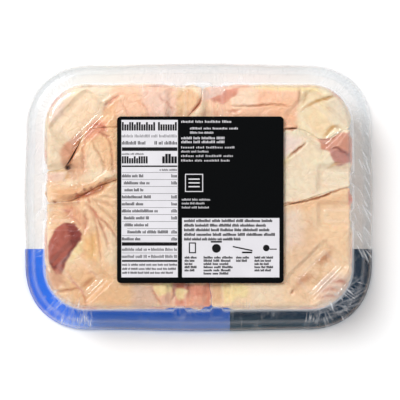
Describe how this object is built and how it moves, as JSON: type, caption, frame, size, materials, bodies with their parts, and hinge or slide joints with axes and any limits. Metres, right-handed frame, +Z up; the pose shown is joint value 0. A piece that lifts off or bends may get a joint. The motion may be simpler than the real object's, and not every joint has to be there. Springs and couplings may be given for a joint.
{
  "type": "tray pack of raw chicken thighs",
  "caption": "Raw skin-on chicken thighs sealed in a clear tray, wrapped in clear film with a square label on the base, lying base up.",
  "frame": {"origin": "middle of the pack's footprint, on the surface that it lies on", "axes": "+X along the long side, to the right in the picture; +Y along the short side, up in the picture; +Z up, out of the tray's base, which faces up because the pack lies on its film side"},
  "size_m": [0.2198, 0.1688, 0.045],
  "materials": {
    "film": "clear glossy stretched plastic film, printed blue and navy along one edge of its front",
    "tray": "clear glossy thermoformed plastic",
    "label": "black printed paper with white panels, satin",
    "raw_chicken": "moist raw chicken skin, peach to pale yellow, with patches of dark pink meat and yellow fat"
  },
  "bodies": {
    "root": {"film": "film", "tray": "tray", "label": "label", "thigh_top_left": "raw_chicken", "thigh_mid_left": "raw_chicken", "thigh_low_left": "raw_chicken", "thigh_top_right": "raw_chicken", "thigh_mid_right": "raw_chicken", "thigh_low_right": "raw_chicken"}
  },
  "joints": []
}
